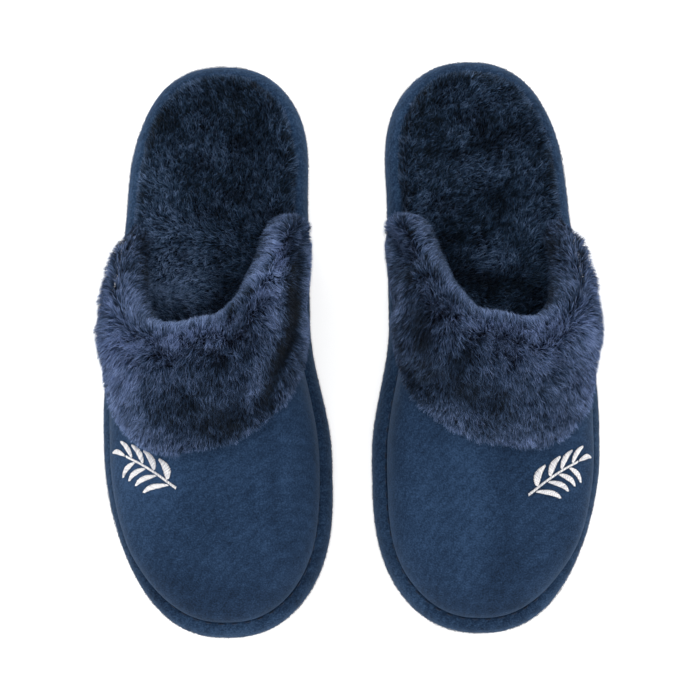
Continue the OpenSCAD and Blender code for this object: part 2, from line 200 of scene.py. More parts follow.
def _steps(n):
    """Places of n evenly spaced points on the outer outline: index, fraction and next index."""
    if n not in _cache:
        loop = ring(0, 0)
        run = np.linalg.norm(np.roll(loop, -1, 0) - loop, axis=1)
        cum = np.concatenate([[0], np.cumsum(run)])
        want = np.arange(n) / n * cum[-1]
        i = np.clip(np.searchsorted(cum, want, side="right") - 1, 0, len(loop) - 1)
        _cache[n] = (i, ((want - cum[i]) / run[i])[:, None], (i + 1) % len(loop))
    return _cache[n]


# ---------------------------------------------------------------- noise
_table = np.random.default_rng(5).random(8192)
PRIMES = (73856093, 19349663, 83492791)


def noise(p, size, seed=0):
    """Smooth noise from -1 to 1, with features of that size in mm; size may differ along x, y and z."""
    q = np.asarray(p, float) / np.asarray(size, float) + seed * 17.31
    i = np.floor(q).astype(np.int64)
    f = q - i
    f = f * f * (3 - 2 * f)
    out = 0
    for corner in np.ndindex(2, 2, 2):
        h, w = 0, 1
        for k, step in enumerate(corner):
            h = h ^ ((i[..., k] + step) * PRIMES[k])
            w = w * (f[..., k] if step else 1 - f[..., k])
        out = out + w * _table[(h ^ (h >> 13)) & 8191]
    return out * 2 - 1


def unit(v):
    return v / np.maximum(1e-9, np.linalg.norm(v, axis=-1, keepdims=True))


def distances(line):
    """How far along a line of points each of them is."""
    return np.concatenate([[0], np.cumsum(np.linalg.norm(np.diff(line, axis=0), axis=1))])


def points_at(line, run, at):
    """Points of a line at those distances along it."""
    return np.stack([np.interp(at, run, line[:, k]) for k in range(line.shape[1])], -1)


def lookup(points, chosen):
    """Search tree over the chosen ones of some points."""
    tree = KDTree(len(chosen))
    for i in chosen:
        tree.insert(points[i], int(i))
    tree.balance()
    return tree


# ---------------------------------------------------------------- meshes
class Mesh:
    """Gathers grids, tubes and strands of one piece, then makes its object."""

    def __init__(self):
        self.co, self.quads, self.tris, self.quv, self.tuv, self.fur, self.n = [], [], [], [], [], [], 0

    def add(self, co, quads=None, tris=None, quv=None, tuv=None, fur=None):
        co = np.asarray(co, float).reshape(-1, 3)
        if quads is not None and len(quads):
            self.quads.append(np.asarray(quads) + self.n)
            self.quv.append(np.zeros((len(quads), 4, 2)) if quv is None else quv)
        if tris is not None and len(tris):
            self.tris.append(np.asarray(tris) + self.n)
            self.tuv.append(np.zeros((len(tris), 3, 2)) if tuv is None else tuv)
        self.fur.append(np.tile(PLAIN, (len(co), 1)) if fur is None else fur)
        self.co.append(co)
        self.n += len(co)

    def grid(self, p, rect=(0.0, 0.0, 1.0, 1.0), close=False, flip=False, fur=None):
        """p[j, i] is a grid of points; close joins its last column to its first."""
        m, n = p.shape[:2]
        cols = n if close else n - 1
        j, i = np.meshgrid(np.arange(m - 1), np.arange(cols), indexing="ij")
        i2 = (i + 1) % n
        q = np.stack([j * n + i, j * n + i2, (j + 1) * n + i2, (j + 1) * n + i], -1).reshape(-1, 4)
        u0, v0, u1, v1 = rect
        u = lambda k: mix(u0, u1, k / cols)
        v = lambda k: mix(v0, v1, k / (m - 1))
        uv = np.stack([np.stack([u(i), v(j)], -1), np.stack([u(i + 1), v(j)], -1),
                       np.stack([u(i + 1), v(j + 1)], -1), np.stack([u(i), v(j + 1)], -1)], -2).reshape(-1, 4, 2)
        if flip:
            q, uv = q[:, ::-1], uv[:, ::-1]
        self.add(p, quads=q, quv=uv, fur=fur)

    def tube(self, path, radius, sides, fur):
        """A closed thread along a path, its ends drawn in."""
        t = unit(np.gradient(path, axis=0))
        side = unit(np.cross(t, np.broadcast_to([0, 0, 1], t.shape)))
        high = np.cross(side, t)
        q = (np.arange(sides) * 2 * math.pi / sides)[None, :, None]
        ring = path[:, None] + radius[:, None, None] * (np.cos(q) * side[:, None] + np.sin(q) * high[:, None])
        self.grid(ring, close=True, fur=np.tile(fur, (len(path) * sides, 1)))

    def make(self, name, side, material, slot, replaces=(), fill=None):
        """The piece as an object that rides on its slipper."""
        body = side + "_slipper"
        co = np.concatenate(self.co)
        sx = SIDES[side]
        co = np.stack([sx * (co[:, 0] + slipper_x), co[:, 1], co[:, 2]], -1) * 0.001
        loops, starts, uvs, at = [], [], [], 0
        for group, uv, k in ((self.quads, self.quv, 4), (self.tris, self.tuv, 3)):
            if group:
                f, t = np.concatenate(group), np.concatenate(uv)
                if sx < 0:
                    f, t = f[:, ::-1], t[:, ::-1]
                loops.append(f.ravel())
                uvs.append(t.reshape(-1, 2))
                starts.append(at + np.arange(len(f)) * k)
                at += f.size
        loops, starts, uvs = np.concatenate(loops), np.concatenate(starts), np.concatenate(uvs)
        me = bpy.data.meshes.new(name)
        me.vertices.add(len(co))
        me.vertices.foreach_set("co", co.astype(np.float32).ravel())
        me.loops.add(len(loops))
        me.loops.foreach_set("vertex_index", loops.astype(np.int32))
        me.polygons.add(len(starts))
        me.polygons.foreach_set("loop_start", starts.astype(np.int32))
        me.update(calc_edges=True)
        me.polygons.foreach_set("use_smooth", np.ones(len(starts), bool))
        me.uv_layers.new(name="OFBake").data.foreach_set("uv", uvs.astype(np.float32).ravel())
        fur = np.concatenate(self.fur)
        attribute = me.attributes.new("nap", "FLOAT_COLOR", "POINT")
        fur = np.concatenate([fur, np.ones((len(fur), 1))], 1)
        attribute.data.foreach_set("color", fur.astype(np.float32).ravel())
        me.validate()
        ob = bpy.data.objects.new(name, me)
        bpy.context.scene.collection.objects.link(ob)
        me.materials.append(material)
        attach(ob, body)
        if replaces:
            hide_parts(*replaces)


class Surface:
    """A grid surface p[j, i], for spreading strands evenly over it. Its normals follow i cross j."""

    def __init__(self, p, flip=False):
        self.p = p
        di, dj = np.gradient(p, axis=1), np.gradient(p, axis=0)
        self.n = unit(np.cross(di, dj)) * (-1 if flip else 1)
        self.di, self.dj = unit(di), unit(dj)
        self.area = np.linalg.norm(np.cross(p[1:, 1:] - p[:-1, :-1], p[1:, :-1] - p[:-1, 1:]), axis=-1) / 2

    def spread(self, rng, per_mm2, weight=None):
        """Root places: grid coordinates (v, u), about per_mm2 of them on each square millimetre where weight is 1."""
        w = self.area if weight is None else self.area * weight
        count = int(per_mm2 * w.sum())
        cell = rng.choice(w.size, count, p=(w / w.sum()).ravel())
        j, i = np.unravel_index(cell, w.shape)
        return j + rng.random(count), i + rng.random(count)

    def roots(self, v, u):
        return self.at("p", v, u), self.at("n", v, u)

    def place(self, v, u):
        """Where in the strands' map each root lies, from 0 to 1."""
        return np.stack([u / (self.p.shape[1] - 1), v / (self.p.shape[0] - 1)], -1)

    def at(self, what, v, u):
        g = getattr(self, what)
        j, i = np.minimum(v.astype(int), g.shape[0] - 2), np.minimum(u.astype(int), g.shape[1] - 2)
        fv, fu = v - j, u - i
        if g.ndim == 3:
            fv, fu = fv[:, None], fu[:, None]
        here, there = g[j, i] * (1 - fv) + g[j + 1, i] * fv, g[j, i + 1] * (1 - fv) + g[j + 1, i + 1] * fv
        return here * (1 - fu) + there * fu


TWIST, TIP = 0.7, 0.12      # how far strands turn about themselves, in radians, and how thin their tips are


def strands(mesh, rng, root, nrm, lay, length, rise0, rise1, width, segs, tone, place, clumps, curl, tone_at=None):
    """Tapered ribbons. lay is the nap's direction, its length from 0 (upright) to 1; rise0 and rise1 are the angles
    over the surface at root and tip, in degrees. clumps are (spacing in mm, how far the tips gather)."""
    count = len(root)
    strength = np.clip(np.linalg.norm(lay, axis=1), 0, 1)
    flat = unit(lay - nrm * (lay * nrm).sum(1, keepdims=True))
    side = np.cross(nrm, flat)
    u = np.linspace(0, 1, segs + 1)
    turn = rng.normal(0, curl, count)
    pts = np.zeros((count, segs + 1, 3))
    pts[:, 0] = root
    r0 = np.radians(mix(90, rise0, strength))
    r1 = np.radians(mix(80, rise1, strength))
    for k in range(segs):
        um = (k + 0.5) / segs
        el = mix(r0, r1, um ** 0.8)
        az = turn * um
        ahead = np.cos(az)[:, None] * flat + np.sin(az)[:, None] * side
        step = np.cos(el)[:, None] * ahead + np.sin(el)[:, None] * nrm
        pts[:, k + 1] = pts[:, k] + step * (length / segs)[:, None]
    shade = tone.copy()
    free = pts.copy()
    for spacing, amount in reversed(clumps):
        leaders = np.sort(rng.choice(count, max(1, int(count / max(1.0, _crowd(root, rng, spacing)))), replace=False))
        tree = lookup(root, leaders)
        lead = np.array([tree.find(p)[1] for p in root])
        pull = (amount * (0.6 + 0.8 * rng.random(count)))[:, None] * u[None, :] ** 0.9
        pts = pts + (pts[lead] - pts) * np.clip(pull, 0, 0.92)[..., None]
        shade = mix(shade, shade[lead], 0.4)
    # tone patches, painted light and shade among them, laid on at a point most of the way along each strand
    if tone_at is not None:
        shade = shade + tone_at(mix(free[:, 0], free[:, -1], 0.6))
    t = unit(np.gradient(pts, axis=1))
    across = unit(np.cross(t, np.broadcast_to(nrm[:, None], t.shape)) + 1e-6)
    up = np.cross(across, t)
    ang = rng.normal(0, TWIST, count)[:, None, None]
    across = np.cos(ang) * across + np.sin(ang) * up
    w = (width / 2)[:, None] * (1 - (1 - TIP) * u[None, :] ** 1.7)
    left, right = pts + across * w[..., None], pts - across * w[..., None]
    co = np.concatenate([np.stack([left[:, :-1], right[:, :-1]], 2).reshape(count, -1, 3), pts[:, -1:]], 1)
    per = 2 * segs + 1
    base = (np.arange(count) * per)[:, None]
    q = [np.stack([base + 2 * k + c for c in (0, 1, 3, 2)], -1) for k in range(segs - 1)]
    q = np.concatenate(q, 1).reshape(-1, 4)
    tri = np.stack([base + 2 * segs - 2, base + 2 * segs - 1, base + 2 * segs], -1).reshape(-1, 3)
    along = np.concatenate([np.repeat(u[:-1], 2), [1.0]])
    fur = np.stack([np.broadcast_to(along, (count, per)), np.repeat(shade[:, None], per, 1),
                    np.repeat(rng.random(count)[:, None], per, 1)], -1)
    e = 0.0016
    spot = place * 0.97 + 0.015
    quv = np.stack([spot + [-e, -e], spot + [e, -e], spot + [e, e], spot + [-e, e]], 1)
    quv = np.repeat(quv[:, None], segs - 1, 1)
    for k in range(segs - 1):
        quv[:, k, :, 1] = (k + quv[:, k, :, 1]) / segs
    quv = quv.reshape(-1, 4, 2)
    tuv = np.stack([spot + [-1.6 * e, -e], spot + [1.6 * e, -e], spot + [0, 2 * e]], 1)
    tuv[:, :, 1] = (segs - 1 + tuv[:, :, 1]) / segs
    mesh.add(co.reshape(-1, 3), quads=q, tris=tri, quv=quv, tuv=tuv, fur=fur.reshape(-1, 3))


def toned(tone):
    """Nap attribute of a grid whose faces are lighter or darker by tone, as painted light and shade."""
    return np.stack([0 * tone + 0.5, tone, 0 * tone + 0.5], -1).reshape(-1, 3)


def tone_patches(p, patches):
    """Lighter or darker patches, painted light and shade among them: (x, y, half width, half length, lighter or
    darker), in mm.
    """
    out = 0
    for x, y, rx, ry, much in patches:
        out = out + much * np.exp(-((p[..., 0] - x) / rx) ** 2 - ((p[..., 1] - y) / ry) ** 2)
    return out


def _crowd(root, rng, spacing):
    """About how many strands share a clump of that spacing."""
    pick = root[rng.choice(len(root), min(200, len(root)), replace=False)]
    near = [(np.abs(root - p).max(1) < spacing / 2).sum() for p in pick]
    return max(1.0, float(np.mean(near)))


# ---------------------------------------------------------------- materials
def material(name):
    """A new material, its tree, its shader and the coordinates that its patterns lie on."""
    m = bpy.data.materials.new(name)
    m.use_nodes = True
    tree = m.node_tree
    return m, tree, tree.nodes["Principled BSDF"], tree.nodes.new("ShaderNodeTexCoord").outputs["Object"]


def node(tree, kind, **values):
    n = tree.nodes.new(kind)
    for k, v in values.items():
        if hasattr(n, k):
            setattr(n, k, v)
        else:
            n.inputs[k].default_value = v
    return n


def ramp(tree, fac, stops, into):
    """Drives a shader's input with a value, through colour stops."""
    n = tree.nodes.new("ShaderNodeValToRGB")
    el = n.color_ramp.elements
    while len(el) < len(stops):
        el.new(0.5)
    for e, (at, colour) in zip(el, stops):
        e.position = at
        e.color = (*colour, 1)
    tree.links.new(fac, n.inputs[0])
    tree.links.new(n.outputs[0], into)


def on(tree, co, kind, **values):
    """Outputs of a node that works on coordinates."""
    n = node(tree, kind, **values)
    tree.links.new(co, n.inputs["Vector"])
    return n.outputs


def noise_node(tree, co, size_mm, detail=3, rough=0.55):
    return on(tree, co, "ShaderNodeTexNoise", Scale=1000 / size_mm, Detail=detail, Roughness=rough)["Fac"]


def math_node(tree, op, a, b=0.0, clamp_it=False):
    n = node(tree, "ShaderNodeMath", operation=op, use_clamp=clamp_it)
    for k, v in ((0, a), (1, b)):
        if isinstance(v, (int, float)):
            n.inputs[k].default_value = v
        else:
            tree.links.new(v, n.inputs[k])
    return n.outputs[0]


def bump(tree, shader, layers):
    """layers are (height output, strength, depth in mm)."""
    last = None
    for height, strength, depth in layers:
        b = node(tree, "ShaderNodeBump", Strength=strength, Distance=depth * 0.001)
        tree.links.new(height, b.inputs["Height"])
        if last is not None:
            tree.links.new(last, b.inputs["Normal"])
        last = b.outputs[0]
    tree.links.new(last, shader.inputs["Normal"])


def nap_channels(tree):
    """The nap attribute: how far along the strand, the tuft's tone and the strand's own; the tone carries painted
    light and shade where patches lay it on.
    """
    a = node(tree, "ShaderNodeAttribute", attribute_name="nap")
    split = node(tree, "ShaderNodeSeparateColor")
    tree.links.new(a.outputs["Color"], split.inputs[0])
    return split.outputs


def ribs(tree, co, size_mm, degrees, distortion, detail):
    """Slanting ribs, turned by degrees about each axis."""
    turned = on(tree, co, "ShaderNodeMapping", Rotation=[math.radians(d) for d in degrees])[0]
    values = {"Scale": 1000 / size_mm / 6.28, "Distortion": distortion, "Detail": detail, "Detail Scale": detail}
    return on(tree, turned, "ShaderNodeTexWave", **values)["Fac"]


def weighed(tree, *parts):
    """Sum of outputs, each times its weight."""
    total = None
    for out, weight in parts:
        term = math_node(tree, "MULTIPLY", out, weight)
        total = term if total is None else math_node(tree, "ADD", total, term)
    return total


def surface(s, rough, spec, sheen_weight=None, sheen_rough=None, sheen=None):
    values = {"Roughness": rough, "Specular IOR Level": spec, "Sheen Weight": sheen_weight,
              "Sheen Roughness": sheen_rough, "Sheen Tint": None if sheen is None else (*sheen, 1)}
    for name, value in values.items():
        if value is not None:
            s.inputs[name].default_value = value


def lin(r, g, b):
    """Linear colour from 0-255 display values."""
    return tuple((c / 255 / 12.92) if c / 255 <= 0.04045 else ((c / 255 + 0.055) / 1.055) ** 2.4 for c in (r, g, b))


def suede(name, dark, base, light, sheen_weight, grain, twill):
    """Brushed microfibre suede: fine nap, soft mottling and a sheen along grazing faces."""
    m, tree, s, co = material(name)
    fine = noise_node(tree, co, grain, 3, 0.75)
    mid = noise_node(tree, co, 6.0, 3, 0.6)
    broad = noise_node(tree, on(tree, co, "ShaderNodeMapping", Scale=(1.0, 0.5, 1.0))[0], 30.0, 2, 0.5)
    lines = ribs(tree, co, 1.5, (28, 34, 58), 5.0, 2.0)
    mixed = weighed(tree, (fine, 0.62 - twill), (mid, 0.16), (broad, 0.22), (lines, twill))
    # the attribute's tone adds painted light and shade: lighter and darker patches on the vamp and at the toe, and
    # shade along the vamp's seam
    mixed = math_node(tree, "ADD", mixed, math_node(tree, "SUBTRACT", nap_channels(tree)[1], 0.5))
    ramp(tree, mixed, [(0.36, dark), (0.50, base), (0.66, light)], s.inputs["Base Color"])
    surface(s, 0.92, 0.12, sheen_weight, 0.45, (0.30, 0.50, 0.80))
    bump(tree, s, [(broad, 0.25, 1.2), (mid, 0.3, 0.5), (fine, 0.7, 0.3), (lines, 2.2 * twill, 0.25)])
    return m


def fur_material(name, colours, sheen, spec):
    """Strands coloured from root to tip, lighter or darker by tuft; the dark at the roots is painted shade down in
    the pile, and the tuft's tone carries painted light and shade where patches lay it on.
    """
    m, tree, s, co = material(name)
    along, tone, own = nap_channels(tree)
    cloud = noise_node(tree, co, 5.0, 3, 0.6)
    # dark at the root, light at the tip: the dark at the root is painted shade down in the pile
    fac = math_node(tree, "MULTIPLY", math_node(tree, "POWER", along, 1.3), 0.66)
    for out, weight in ((tone, 0.9), (own, 0.62), (cloud, 0.30)):
        part = math_node(tree, "MULTIPLY", math_node(tree, "SUBTRACT", out, 0.5), weight)
        fac = math_node(tree, "ADD", fac, part, out is cloud)
    ramp(tree, fac, list(zip((0.0, 0.25, 0.55, 1.0), colours)), s.inputs["Base Color"])
    surface(s, 0.55, spec, 0.08, 0.5, sheen)
    return m


def backing(name, dark, light):
    """Dense short pile between the roots."""
    m, tree, s, co = material(name)
    fine = noise_node(tree, co, 0.6, 3, 0.7)
    tufts = noise_node(tree, co, 3.0, 3, 0.6)
    both = weighed(tree, (fine, 0.5), (tufts, 0.5))
    ramp(tree, both, [(0.35, dark), (0.65, light)], s.inputs["Base Color"])
    surface(s, 0.95, 0.08)
    bump(tree, s, [(tufts, 0.8, 1.5), (fine, 0.9, 0.4)])
    return m


def foam(name, dark, light):
    """Open-cell foam: a mass of small cells."""
    m, tree, s, co = material(name)
    cells = on(tree, co, "ShaderNodeTexVoronoi", Scale=1000 / 1.1)["Distance"]
    fine = noise_node(tree, co, 2.0, 4, 0.6)
    ramp(tree, fine, [(0.35, dark), (0.65, light)], s.inputs["Base Color"])
    surface(s, 0.9, 0.2)
    bump(tree, s, [(fine, 0.3, 0.4), (cells, 0.7, 0.3)])
    return m


def rubber(name, dark, light):
    """Moulded rubber: a fine pebble and a soft mottling all over."""
    m, tree, s, co = material(name)
    pebble = on(tree, co, "ShaderNodeTexVoronoi", Scale=1000 / 0.9)["Distance"]
    dust = noise_node(tree, co, 18.0, 5, 0.65)
    ramp(tree, dust, [(0.38, dark), (0.62, light)], s.inputs["Base Color"])
    ramp(tree, noise_node(tree, co, 4.0, 3), [(0.3, (0.48,) * 3), (0.7, (0.72,) * 3)], s.inputs["Roughness"])
    s.inputs["Specular IOR Level"].default_value = 0.35
    bump(tree, s, [(pebble, 0.45, 0.12), (dust, 0.15, 0.3)])
    return m


def thread(name, dark, light, rough, spec, sheen_weight):
    """Twisted thread: fine slanting plies."""
    m, tree, s, co = material(name)
    plies = ribs(tree, co, 0.28, (20, 35, 30), 1.0, 1.0)
    fac = weighed(tree, (plies, 0.4), (nap_channels(tree)[1], 0.6))
    ramp(tree, fac, [(0.15, dark), (0.7, light)], s.inputs["Base Color"])
    surface(s, rough, spec, sheen_weight)
    bump(tree, s, [(plies, 0.5, 0.06)])
    return m


VAMP = suede("vamp_suede", lin(14, 30, 50), lin(31, 52, 79), lin(52, 77, 110), 0.12, grain=0.75, twill=0.035)
RIM = suede("rim_suede", lin(14, 28, 46), lin(34, 55, 82), lin(60, 86, 118), 0.22, grain=0.85, twill=0.045)
FUR = fur_material("collar_fur", [lin(6, 15, 23), lin(20, 37, 54), lin(69, 93, 130), lin(149, 171, 218)],
                   (0.45, 0.50, 0.85), 0.2)
PLUSH = fur_material("footbed_plush", [lin(4, 14, 21), lin(13, 30, 46), lin(50, 76, 107), lin(130, 156, 198)],
                     (0.4, 0.5, 0.8), 0.15)
FUR_BACK = backing("collar_backing", lin(6, 10, 18), lin(16, 24, 40))
PLUSH_BACK = backing("plush_backing", lin(4, 8, 14), lin(12, 18, 28))
FOAM = foam("eva_foam", lin(120, 124, 130), lin(156, 160, 166))
SOFT_FOAM = foam("memory_foam", lin(34, 42, 56), lin(48, 57, 74))
RUBBER = rubber("outsole_rubber", lin(22, 27, 38), lin(38, 44, 58))
NAVY = thread("navy_thread", lin(14, 24, 40), lin(38, 56, 84), 0.7, 0.2, 0.1)
SILVER = thread("silver_thread", lin(196, 196, 204), lin(255, 253, 252), 0.38, 0.5, 0.15)


# ---------------------------------------------------------------- the platform and its wrap
def rings(section, n=560):
    """One row of points for each (inset, z) of a section; the groove's rows follow the vamp's seam round the toe."""
    rows = []
    for inset, z in section:
        p = outline(inset, toe_setback * float(smooth((inset - 2) / (rim_w - 2))), n)
        rows.append(np.concatenate([p, np.full((len(p), 1), z)], 1))
    return np.array(rows)


def spline(points, n):
    p = np.array(points, float)
    return through(p, np.linspace(0, len(p) - 1, n))


def platform_wrap(side):
    section = spline([[12, 5.02], [6, 5.0], [1.6, 5.0], [0.25, 6.0], [0.0, 8.2], [0.0, 11.0], [0.25, 13.8],
                      [1.0, 16.6], [2.2, 18.9], [3.6, 20.4], [4.8, 20.95], [5.9, 20.95], [6.7, 20.5], [7.3, 19.8],
                      [8.2, 19.3], [9.6, 19.1], [11, 19.1]], 78)
    p = rings(section)
    seed = 3 if side == "left" else 8
    lump = 0.28 * noise(p, (16, 16, 9), seed) + 0.12 * noise(p, 4.5, seed + 1)
    quilt = smooth((p[..., 2] - 8) / 6)
    y = np.clip(p[..., 1], ball_y, seat_y)
    centre = np.stack([mid_x(y), y, 0 * y + 10], -1)
    out = unit((p - centre) * [1, 1, 2.0])
    p = p + out * (lump * quilt)[..., None]
    m = Mesh()
    # the wrap's face carries the painted light and shade at the toe
    m.grid(p, close=True, fur=toned(0.5 + tone_patches(p, TOE_PAINTED_SHADING[side])))
    inside = [[11, 19.1], [11.2, 17.2], [7.6, 17.0], [3.2, 15.6], [1.5, 11], [1.5, 6.6], [12, 6.5], [12, 5.02]]
    m.grid(rings(inside, 280), (0, 0, 1, 0.001), close=True)
    m.make(side + "_platform_wrap", side, RIM, "rim_suede", [side + "_sole_wrap"], fill=0.8)


def slab(name, side, inset0, inset1, z0, z1, mat, slot, node_name, edge=0.8, squeeze=0.0):
    """A cut foam layer with softened edges, pressed in a little round its sides."""
    m = Mesh()
    section = spline([[inset0 + 8, z0], [inset0 + edge, z0], [inset0, z0 + edge],
                      [mix(inset0, inset1, 0.5) + squeeze, mix(z0, z1, 0.5)],
                      [inset1, z1 - edge], [inset1 + edge, z1], [inset1 + 8, z1]], 22)
    p = rings(section, 260)
    m.grid(p, (0, 0.3, 1, 0.7), close=True)
    for row, flip, rect in ((p[-1], False, (0, 0.7, 1, 1)), (p[0], True, (0, 0, 1, 0.3))):
        spine_y = np.clip(row[:, 1], ball_y, seat_y)
        spine = np.stack([mid_x(spine_y), spine_y, row[:, 2]], -1)
        cap = np.array([mix(row, spine, f) for f in np.linspace(0, 1, 12)])
        cap[..., 2] += 0.12 * noise(cap, 22, 4)
        m.grid(cap, rect, close=True, flip=flip)
    m.make(name, side, mat, slot, [node_name], fill=0.9)


# ---------------------------------------------------------------- footbed
BED_NAP = {
    "right": [(0, 106, 11, 6, .14), (-5, 91, 11, 5, .12), (23, 80, 9, 9, .14), (-24, 66, 9, 7, .16),
              (24, 62, 12, 7, .18), (-19, 104, 9, 12, -.14), (9, 78, 14, 8, -.18), (21, 103, 7, 10, -.15),
              (-5, 61, 10, 7, -.16), (24, 42, 16, 15, .38), (-2, 34, 10, 10, -.1), (-10, 27, 12, 8, -.2),
              (10, 28, 14, 9, .26), (31, 24, 9, 12, .2), (4, 110, 10, 7, -.2), (-12, 76, 12, 9, -.12),
              (12, 70, 8, 8, -.1)],
    "left": [(4, 41, 11, 7, .34), (12, 27, 14, 8, -.28), (28, 57, 9, 8, .2), (-12, 52, 9, 8, -.2),
             (-22, 60, 7, 9, .12), (2, 72, 12, 9, -.12), (18, 84, 10, 8, .10), (0, 104, 14, 7, -.06),
             (14, 112, 9, 6, .16), (-20, 92, 8, 14, -.22), (-20, 108, 8, 8, -.14), (6, 92, 10, 6, -.06),
             (0, 60, 6, 6, -.2), (16, 50, 6, 6, -.15), (1, 80, 7, 6, .12)],
}


def footbed_loop(n=420):
    """The pad's outline: inside the lining under the vamp, out to the rim behind it."""
    wide = outline(rim_w + 0.4, 0, n)
    y = wide[:, 1]
    a = np.degrees(np.arccos(clamp((pad_top / np.maximum(pad_top, crest(y, upper_t))) ** (1 / 0.9))))
    sign = np.where(wide[:, 0] > mid_x(y), 1, -1)
    top = vamp_pt(sign * a, y, upper_t)[:, 0]
    base = vamp_pt(sign * 90.0, y, upper_t)[:, 0]
    x = np.where(sign > 0, np.minimum(top, base), np.maximum(top, base)) - sign * 0.6
    tuck = smooth((wing_y - 3 - y) / 8)
    toe = tip_y(upper_t) + 3.0
    return np.stack([mix(wide[:, 0], x, tuck), np.maximum(y, toe)], -1)


def footbed(side, rng):
    loop = footbed_loop()
    lower, upper = toe_y + 46, heel_y - 46
    spine_y = np.clip(loop[:, 1], lower, upper)
    spine = np.stack([mid_x(spine_y), spine_y], -1)
    f = np.concatenate([[0.0, 0.004, 0.012, 0.03, 0.06, 0.1], np.linspace(0.15, 1, 26)])
    rows = []
    for k in f:
        p = mix(loop, spine, k)
        dist = np.linalg.norm(loop - spine, axis=1) * k
        h = footbed_t * np.clip(1 - (1 - clamp(dist / 2.4)) ** 2.2, 0, 1)
        crown = 0.5 * smooth(dist / 14)
        dent = -1.3 * np.exp(-(((p[:, 0] - mid_x(p[:, 1])) / 24) ** 2 + ((p[:, 1] - seat_y - 6) / 30) ** 2))
        z = seam_z + 0.2 + (h + crown + dent * smooth(dist / 8)) * 0.86
        rows.append(np.stack([p[:, 0], p[:, 1], z], -1))
    p = np.array(rows)
    p[..., 2] += (0.35 * noise(p, 11, 21 if side == "left" else 31)) * smooth(f[:, None] / 0.1)
    m = Mesh()
    m.grid(p, (0, 0.3, 1, 1), close=True)
    base = p[0].copy()
    base[:, 2] = seam_z
    bottom_spine = np.stack([spine[:, 0], spine[:, 1], np.full(len(spine), seam_z)], -1)
    m.grid(np.array([base, p[0]]), (0, 0.25, 1, 0.3), close=True)
    bottom = np.array([mix(base, bottom_spine, k) for k in np.linspace(0, 1, 6)])
    m.grid(bottom, (0, 0, 1, 0.25), close=True, flip=True)
    m.make(side + "_footbed_pad", side, PLUSH_BACK, "footbed_plush", [side + "_footbed"], fill=0.55)
    # pile
    closed = np.concatenate([p, p[:, :1]], 1)
    s = Surface(closed)
    mid_y = (closed[1:, 1:, 1] + closed[:-1, :-1, 1]) / 2
    weight = np.where(mid_y < lip_y - 50, 0.0, np.where(mid_y < lip_y - 18, 0.4, 1.0))
    v, u = s.spread(rng, 6.0, weight)
    root, nrm = s.at("p", v, u), unit(s.at("n", v, u) + [0, 0, 0.25])
    edge = np.exp(-v / 4.0)
    seed = 40 if side == "left" else 60
    # nap lies in swirls, and falls outwards over the edge
    swirl = 0.65 + 1.5 * noise(root, (34, 30, 60), seed) + 0.7 * noise(root, 11, seed + 1)
    swirl = swirl + rng.normal(0, 0.35, len(root))
    lay = np.stack([np.cos(swirl), np.sin(swirl), 0 * swirl], -1)
    outward = unit(-s.at("dj", v, u))
    fallen = edge * np.clip(0.45 + 0.5 * noise(root, 9, seed + 6), 0, 0.9)
    flatness = np.clip(0.75 + 0.5 * noise(root, 8, seed + 2), 0.35, 1)
    lay = unit(mix(lay, outward, fallen[:, None])) * flatness[:, None]
    patch = noise(root, (20, 24, 60), seed + 3) * 0.55 + noise(root, 7, seed + 4) * 0.45
    under = smooth((lip_y + 14 - root[:, 1]) / 40)
    # painted shade on the pile under the vamp, towards the toe, and a faint painted highlight along the edge
    tone = 0.48 + 0.24 * patch + rng.normal(0, 0.18, len(root)) + 0.02 * edge - 0.12 * under
    length = np.clip(4.4 + 0.9 * rng.standard_normal(len(root)), 2.3, 7.0) * mix(1.0, 0.75, edge)
    place = s.place(v, u)
    half = root[:, 1] > seat_y - 32
    for tag, keep in (("heel", half), ("arch", ~half)):
        hair = Mesh()
        strands(hair, rng, root[keep], nrm[keep], lay[keep], length[keep], 56, 16,
                rng.uniform(0.16, 0.28, keep.sum()), 3, tone[keep], place[keep],
                clumps=((0.8, 0.34), (2.4, 0.2)), curl=1.2,
                tone_at=lambda q: tone_patches(q, BED_NAP[side]))
        hair.make(f"{side}_footbed_pile_{tag}", side, PLUSH, "footbed_plush")


# ---------------------------------------------------------------- vamp
# painted light and shade on the vamp's suede: lighter and darker sides, a darker toe and, on the right slipper, light
# and dark streaks along the folds by the collar; each is (x, y, half width, half length, lighter or darker), in mm
VAMP_PAINTED_SHADING = {
    "right": [(26, -54, 20, 20, .10), (-4, -113, 30, 12, -.075), (-18, -94, 20, 16, -.03), (42, -72, 5, 34, .06),
              (-30, -62, 3, 22, .03), (-25, -56, 2, 20, -.04), (4, -72, 10, 12, -.03)],
    "left": [(-28, -70, 16, 28, .05), (12, -98, 18, 16, -.04), (0, -118, 40, 9, -.045), (34, -50, 12, 20, .04)],
}
# painted light and shade on the wrap at the toe: lighter on the right slipper, darker on the left
TOE_PAINTED_SHADING = {"right": [(0, -132, 40, 14, .06)], "left": [(0, -132, 40, 14, -.02)]}


